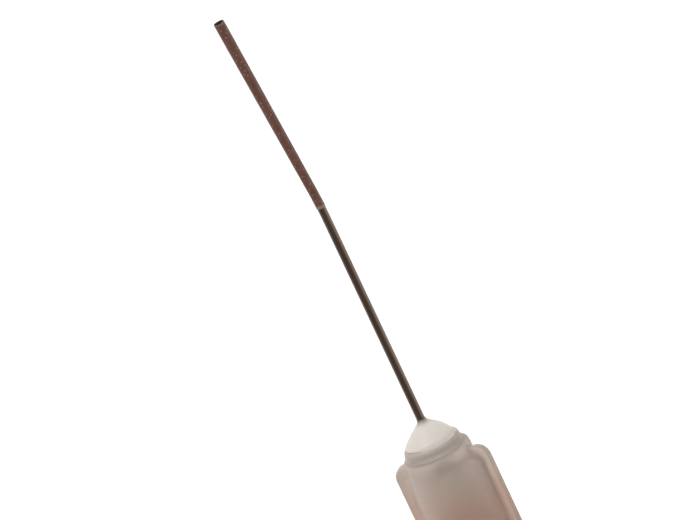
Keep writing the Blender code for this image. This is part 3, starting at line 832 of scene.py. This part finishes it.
# Bonding bead: milky epoxy, dosed on by hand round the needle. It climbs the tube in a small collar.
# Below the dome it thins out to a skin over the hub's top step, and on one side it runs down past both.
BEAD_POWER = 1.6
NEEDLE_RADIUS = 0.359
SKIN, SKIN_FILL = 0.02, 0.19
RUN_OUT = [  # heights over the hub's top, and how far the run stands out there
    (-0.94, 0.08), (-0.8, 0.18), (-0.65, 0.18), (-0.4, 0.12), (-0.25, 0.085), (-0.1, 0.10), (-0.03, 0.13),
    (0.0, 0.175), (0.07, 0.22), (0.18, 0.22), (0.35, 0.12), (0.8, -0.03), (1.3, -0.09),
    (1.8, -0.04), (2.1, 0.0),
]

bead_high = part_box("bond_bead")[1]
bead_tall = bead_high[2] / MM - hub_high[2] / MM
bead_radius = bead_high[0] / MM
shares = [k / 24 for k in range(24)]
bead_side = [(bead_radius * (1 - s**BEAD_POWER), bead_tall * s) for s in shares]
bead_side = [(r, z) for r, z in bead_side if r > NEEDLE_RADIUS + 0.08 and z > 0.2]
skin_turns = [math.radians(a) for a in range(0, 56, 11)]
skin_reach = 0.4 + SKIN
skin = [(UPPER_STEP - 0.4 + skin_reach * math.cos(a), -0.4 + skin_reach * math.sin(a)) for a in skin_turns]
bead_outline = [
    (NEEDLE_RADIUS + 0.008, -0.06), (UPPER_STEP - 0.5, -0.06), (UPPER_STEP - 0.06, -0.4),
    (UPPER_STEP - 0.06, -1.1),
    (UPPER_STEP + 0.24, -1.14), (UPPER_STEP + 0.11, -0.91), (UPPER_STEP + 0.05, -0.8),
    (UPPER_STEP + SKIN, -0.62), *skin, (UPPER_STEP - 0.24, -0.02), (UPPER_STEP - 0.32, 0.02),
    (UPPER_STEP - 0.38, 0.07), (UPPER_STEP - 0.42, 0.14),
    *bead_side,
    (NEEDLE_RADIUS + 0.03, bead_tall * 0.95), (NEEDLE_RADIUS + 0.008, bead_tall),
]


def bead_shape(radius, height, angle):
    """Pushes the run outwards towards -X, fills the corner in front, and makes the dome slightly uneven."""
    if radius < NEEDLE_RADIUS + 0.05 or (radius < UPPER_STEP - 0.05 and height < 0):
        return radius, height
    run = 0.0
    for (low, thin), (high, thick) in zip(RUN_OUT, RUN_OUT[1:]):
        if low <= height <= high:
            run = thin + (thick - thin) * (height - low) / (high - low)
    run *= max(0.0, -math.cos(angle)) ** 1.5
    filled = min(1.0, max(0.0, 1 - (height + UPPER_TALL) / CORNER_TALL)) ** 2
    run += SKIN_FILL * filled * max(0.0, -math.sin(angle))
    share = min(1.0, max(0.0, 1 - height / bead_tall))
    uneven = noise.noise(Vector((math.cos(angle) * 1.3, math.sin(angle) * 1.3, height))) * 0.03
    return radius + run + uneven * share * (height > 0), height


# Milky epoxy, cured: a smooth low gloss. It is greyer where it thins out below the dome. Up the tube it turns
# darker: painted shade where the bead meets the needle, and the thin collar over the dark steel.
MILK_CLOUD = 2.86
epoxy, tree = new_material("milky_cured_epoxy")
place_on = add_node(tree, "ShaderNodeTexCoord")
milk = add_node(
    tree, "ShaderNodeTexNoise",
    sockets={"Vector": place_on.outputs["Object"], "Scale": 1 / (MILK_CLOUD * MM), "Detail": 3.0},
)
tint = add_node(
    tree, "ShaderNodeMix", {"data_type": "RGBA"},
    {"Factor": milk.outputs["Fac"], "A": srgb("#C0B9B2"), "B": srgb("#CCC5BE")},
)
apart = add_node(tree, "ShaderNodeSeparateXYZ", sockets={"Vector": place_on.outputs["Object"]})
thin = add_node(
    tree, "ShaderNodeMapRange", {"interpolation_type": "SMOOTHSTEP"},
    {
        "Value": apart.outputs["Z"], "From Min": hub_high[2] - 0.14 * MM, "From Max": hub_high[2] + 0.14 * MM,
        "To Min": 1.0, "To Max": 0.0,
    },
)
tint = add_node(
    tree, "ShaderNodeMix", {"data_type": "RGBA"},
    {"Factor": thin.outputs["Result"], "A": tint.outputs["Result"], "B": srgb("#9D9189")},
)
# Painted shade towards the apex, where the bead meets the needle, together with the thin collar over the dark
# steel.
apex_shade = add_node(
    tree, "ShaderNodeMapRange", {"interpolation_type": "SMOOTHSTEP"},
    {
        "Value": apart.outputs["Z"], "From Min": bead_high[2] - 0.6 * MM, "From Max": bead_high[2] - 0.1 * MM,
        "To Max": 0.8,
    },
)
tint = add_node(
    tree, "ShaderNodeMix", {"data_type": "RGBA"},
    {"Factor": apex_shade.outputs["Result"], "A": tint.outputs["Result"], "B": srgb("#8D8076")},
)
shader = add_node(
    tree, "ShaderNodeBsdfPrincipled",
    sockets={
        "Base Color": tint.outputs["Result"], "Roughness": 0.38, "IOR": 1.5, "Subsurface Weight": 1.0,
        "Subsurface Scale": 0.0006, "Subsurface Radius": (1.0, 1.0, 0.95),
    },
)
finish_material(tree, shader)
place(
    "bonding_bead", lathe("bonding_bead", bead_outline, even_angles(96), bead_shape), hub_high[2], "needle",
    "milky_epoxy", epoxy, "bond_bead",
)


# Needle: drawn stainless tube of 22 gauge. Its dark brown colour is painted reflection of the dark brown
# surroundings that it mirrors.
# It is bent by a few degrees where the sleeve starts.
NEEDLE_BORE = 0.207
BEND_ANGLE, BEND_LENGTH = math.radians(3.8), 3.2
HELD_IN_HUB, IN_SLEEVE = 2.5, 4.0

hub_top = hub_high[2] / MM
sleeve_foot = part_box("tip_sleeve")[0][2] / MM


def along_needle(point):
    """Takes a point of a straight tube, its height measured up the needle, to its place on the bent one."""
    start = sleeve_foot - BEND_LENGTH / 2
    radius = BEND_LENGTH / BEND_ANGLE
    tilt = min(max(0.0, (point.z - start) / radius), BEND_ANGLE)
    beyond = max(0.0, point.z - start - radius * tilt)
    sideways = radius * (1 - math.cos(tilt)) + beyond * math.sin(tilt)
    height = min(point.z, start) + radius * math.sin(tilt) + beyond * math.cos(tilt)
    across = Matrix.Rotation(-tilt, 4, "Y") @ Vector((point.x, point.y, 0.0))
    return across + Vector((-sideways, 0.0, height))


def tube(name, outline, sides, step, shape=None):
    """A tube turned from its outline, then laid along the needle's bent centre line."""
    outline = finer(outline + outline[:1], step)[:-1]
    mesh = lathe(name, outline, even_angles(sides), shape)
    for vertex in mesh.vertices:
        vertex.co = along_needle(vertex.co)
    return mesh


needle_foot, needle_end = hub_top - HELD_IN_HUB, sleeve_foot + IN_SLEEVE
needle_outline = rounded(
    [
        (NEEDLE_RADIUS, needle_foot, 0.02), (NEEDLE_RADIUS, needle_end, 0.02),
        (NEEDLE_BORE, needle_end, 0.02), (NEEDLE_BORE, needle_foot, 0.02),
    ],
    3,
)
# Stainless steel, drawn: a dulled metal gloss with lines along the tube, coarser here than real ones so that
# they show, and soft brownish patches. Its dark brown colour is painted reflection of dark brown
# surroundings.
DRAWING_LINE, LINE_STRETCH, BROWN_PATCH = 0.111, 0.06, 2.22
steel, tree = new_material("drawn_stainless_tube")
place_on = add_node(tree, "ShaderNodeTexCoord")
drawn_out = add_node(
    tree, "ShaderNodeMapping",
    sockets={"Vector": place_on.outputs["Object"], "Scale": (1.0, 1.0, LINE_STRETCH)},
)
lines = add_node(
    tree, "ShaderNodeTexNoise",
    sockets={"Vector": drawn_out.outputs["Vector"], "Scale": 1 / (DRAWING_LINE * MM), "Detail": 2.0},
)
brown_patch = add_node(
    tree, "ShaderNodeTexNoise",
    sockets={"Vector": place_on.outputs["Object"], "Scale": 1 / (BROWN_PATCH * MM), "Detail": 4.0},
)
# Painted reflection: the dark browns stand in for the dark brown surroundings that the tube mirrors.
tint = add_node(
    tree, "ShaderNodeMix", {"data_type": "RGBA"},
    {"Factor": brown_patch.outputs["Fac"], "A": srgb("#6F5D51"), "B": srgb("#8C7A6D")},
)
dull = add_node(
    tree, "ShaderNodeMapRange", sockets={"Value": brown_patch.outputs["Fac"], "To Min": 0.22, "To Max": 0.34}
)
relief = add_node(
    tree, "ShaderNodeBump", sockets={"Strength": 0.2, "Distance": 0.00001, "Height": lines.outputs["Fac"]}
)
shader = add_node(
    tree, "ShaderNodeBsdfPrincipled",
    sockets={
        "Base Color": tint.outputs["Result"], "Metallic": 1.0, "Roughness": dull.outputs["Result"],
        "Normal": relief.outputs["Normal"],
    },
)
finish_material(tree, shader)
place(
    "steel_needle", tube("steel_needle", needle_outline, 48, 0.5), 0.0, "needle", "dark_steel", steel,
    "needle_tube",
)


# Tip sleeve: a reddish-brown plastic sleeve shrunk on the needle, wider towards the tip.
# Its skin is mottled, with small paler specks and a slight sheen.
SLEEVE_BORE, SLEEVE_FOOT_RADIUS, SLEEVE_TIP_RADIUS = 0.367, 0.385, 0.452
SLEEVE_LENGTH, SLEEVE_STRAIGHT = 16.85, 1.7

sleeve_top = sleeve_foot + SLEEVE_LENGTH
sleeve_outline = rounded(
    [
        (SLEEVE_FOOT_RADIUS, sleeve_foot, 0.012),
        (SLEEVE_TIP_RADIUS, sleeve_top - SLEEVE_STRAIGHT, 3.0),
        (SLEEVE_TIP_RADIUS, sleeve_top, 0.02),
        (SLEEVE_BORE, sleeve_top, 0.01),
        (SLEEVE_BORE, sleeve_foot, 0.01),
    ],
    4,
)


def sleeve_shape(radius, height, angle):
    """Slight unevenness of a shrunk sleeve, on its outside only."""
    if radius > SLEEVE_BORE + 0.01:
        radius += noise.noise(Vector((math.cos(angle), math.sin(angle), height * 1.4))) * 0.006
    return radius, height


MOTTLE, SPECK = 2 / 3, 0.2778
sleeve_skin, tree = new_material("shrunk_red_brown_sleeve")
place_on = add_node(tree, "ShaderNodeTexCoord")
mottle = add_node(
    tree, "ShaderNodeTexNoise",
    sockets={"Vector": place_on.outputs["Object"], "Scale": 1 / (MOTTLE * MM), "Detail": 4.0},
)
specks = add_node(
    tree, "ShaderNodeTexVoronoi",
    sockets={"Vector": place_on.outputs["Object"], "Scale": 1 / (SPECK * MM)},
)
speck = add_node(
    tree, "ShaderNodeMapRange",
    sockets={
        "Value": specks.outputs["Distance"], "From Min": 0.16, "From Max": 0.34,
        "To Min": 0.55, "To Max": 0.0,
    },
)
tint = add_node(
    tree, "ShaderNodeMix", {"data_type": "RGBA"},
    {"Factor": mottle.outputs["Fac"], "A": srgb("#48271B"), "B": srgb("#6A3E2F")},
)
spotted = add_node(
    tree, "ShaderNodeMix", {"data_type": "RGBA"},
    {"Factor": speck.outputs["Result"], "A": tint.outputs["Result"], "B": srgb("#8C6E5C")},
)
relief = add_node(
    tree, "ShaderNodeBump", sockets={"Strength": 0.4, "Distance": 0.00003, "Height": mottle.outputs["Fac"]}
)
shader = add_node(
    tree, "ShaderNodeBsdfPrincipled",
    sockets={
        "Base Color": spotted.outputs["Result"], "Roughness": 0.5, "IOR": 1.5, "Coat Weight": 0.3,
        "Coat Roughness": 0.25, "Normal": relief.outputs["Normal"],
    },
)
finish_material(tree, shader)
place(
    "shrunk_sleeve", tube("shrunk_sleeve", sleeve_outline, 48, 0.25, sleeve_shape), 0.0, "needle",
    "red_brown_sleeve", sleeve_skin, "tip_sleeve",
)


# Adhesive ring where the sleeve starts: a small tan collar, rounded towards the hub.
# It is cured adhesive round the tube, just below the sleeve's lower edge.
collar_foot, collar_top = sleeve_foot - 0.288, sleeve_foot - 0.008
collar_outline = rounded(
    [
        (SLEEVE_BORE, collar_foot, 0), (SLEEVE_FOOT_RADIUS + 0.005, collar_foot, 0.024),
        (SLEEVE_FOOT_RADIUS + 0.012, collar_top, 0.01), (SLEEVE_BORE, collar_top, 0),
    ],
    5,
)
TAN_CLOUD = 0.25
tan_glue, tree = new_material("cured_tan_adhesive")
place_on = add_node(tree, "ShaderNodeTexCoord")
cloud = add_node(
    tree, "ShaderNodeTexNoise",
    sockets={"Vector": place_on.outputs["Object"], "Scale": 1 / (TAN_CLOUD * MM), "Detail": 2.0},
)
tint = add_node(
    tree, "ShaderNodeMix", {"data_type": "RGBA"},
    {"Factor": cloud.outputs["Fac"], "A": srgb("#6F5848"), "B": srgb("#84695A")},
)
shader = add_node(
    tree, "ShaderNodeBsdfPrincipled",
    sockets={"Base Color": tint.outputs["Result"], "Roughness": 0.3, "IOR": 1.5},
)
finish_material(tree, shader)
place(
    "joint_collar", tube("joint_collar", collar_outline, 48, 0.05), 0.0, "needle", "tan_adhesive", tan_glue,
    "joint_ring",
)


# Tip ring: a grey moulded end piece that closes the sleeve's wall, with a rounded lip and a wide open mouth.
# The sleeve's brown has smeared over its foot.
TIP_GAP, TIP_RING_TALL, TIP_BORE = 0.008, 0.35, 0.302
MOUTH_SLANT = 0.09

lip_foot = sleeve_top + TIP_GAP
lip_outline = rounded(
    [
        (SLEEVE_TIP_RADIUS, lip_foot, 0.02), (SLEEVE_TIP_RADIUS, lip_foot + TIP_RING_TALL, 0.05),
        (TIP_BORE + 0.1, lip_foot + TIP_RING_TALL, 0.02), (TIP_BORE, lip_foot + TIP_RING_TALL / 2, 0.06),
        (TIP_BORE, lip_foot, 0.02),
    ],
    6,
)


def slanted(radius, height, angle):
    """The mouth is trimmed at a slight slant, lowest on the front."""
    share = (height - lip_foot) / TIP_RING_TALL
    return radius, height - MOUTH_SLANT * share * max(0.0, -math.sin(angle))


GREY_CLOUD = 1 / 3
grey_plastic, tree = new_material("moulded_grey_ring")
place_on = add_node(tree, "ShaderNodeTexCoord")
cloud = add_node(
    tree, "ShaderNodeTexNoise",
    sockets={"Vector": place_on.outputs["Object"], "Scale": 1 / (GREY_CLOUD * MM), "Detail": 3.0},
)
tint = add_node(
    tree, "ShaderNodeMix", {"data_type": "RGBA"},
    {"Factor": cloud.outputs["Fac"], "A": srgb("#54473F"), "B": srgb("#6A5C54")},
)
apart = add_node(tree, "ShaderNodeSeparateXYZ", sockets={"Vector": place_on.outputs["Object"]})
lip_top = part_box("tip_ring")[1][2]
smeared = add_node(
    tree, "ShaderNodeMapRange", {"interpolation_type": "SMOOTHSTEP"},
    {
        "Value": apart.outputs["Z"], "From Min": lip_top - 0.32 * MM, "From Max": lip_top - 0.16 * MM,
        "To Min": 0.9, "To Max": 0.0,
    },
)
stained = add_node(
    tree, "ShaderNodeMix", {"data_type": "RGBA"},
    {"Factor": smeared.outputs["Result"], "A": tint.outputs["Result"], "B": srgb("#5A3527")},
)
shader = add_node(
    tree, "ShaderNodeBsdfPrincipled",
    sockets={"Base Color": stained.outputs["Result"], "Roughness": 0.45, "IOR": 1.5},
)
finish_material(tree, shader)
place(
    "tip_lip", tube("tip_lip", lip_outline, 48, 0.05, slanted), 0.0, "needle", "grey_ring", grey_plastic,
    "tip_ring",
)


# Painted shade: a dark, thin lining on the inside of the tip's mouth stands in for the shade in the open
# mouth.
# It covers the mouth's funnel and the bore below it, and follows their slant.
LINING = 0.012

lip_head = lip_foot + TIP_RING_TALL
lining_outline = [
    (TIP_BORE + 0.115, lip_head + 0.001), (TIP_BORE + 0.1 - LINING, lip_head - 0.01),
    (TIP_BORE - LINING, lip_head - TIP_RING_TALL / 2), (TIP_BORE - LINING, lip_foot + 0.03),
    (TIP_BORE + LINING, lip_foot + 0.03), (TIP_BORE + LINING, lip_head - TIP_RING_TALL / 2),
]
SHADE_MOTTLE = 0.2
mouth_shade, tree = new_material("painted_mouth_shade")
place_on = add_node(tree, "ShaderNodeTexCoord")
shade_mottle = add_node(
    tree, "ShaderNodeTexNoise",
    sockets={"Vector": place_on.outputs["Object"], "Scale": 1 / (SHADE_MOTTLE * MM), "Detail": 3.0},
)
# Painted shade: the near-black lining takes the place of the shade inside the open mouth.
tint = add_node(
    tree, "ShaderNodeMix", {"data_type": "RGBA"},
    {"Factor": shade_mottle.outputs["Fac"], "A": srgb("#1F130B"), "B": srgb("#2E1E13")},
)
relief = add_node(
    tree, "ShaderNodeBump", sockets={"Strength": 0.4, "Distance": 0.00002, "Height": shade_mottle.outputs["Fac"]}
)
shader = add_node(
    tree, "ShaderNodeBsdfPrincipled",
    sockets={
        "Base Color": tint.outputs["Result"], "Roughness": 0.6, "IOR": 1.48, "Specular IOR Level": 0.2,
        "Normal": relief.outputs["Normal"],
    },
)
finish_material(tree, shader)
place(
    "mouth_lining", tube("mouth_lining", lining_outline, 48, 0.05, slanted), 0.0, "needle", "tan_adhesive",
    mouth_shade,
)
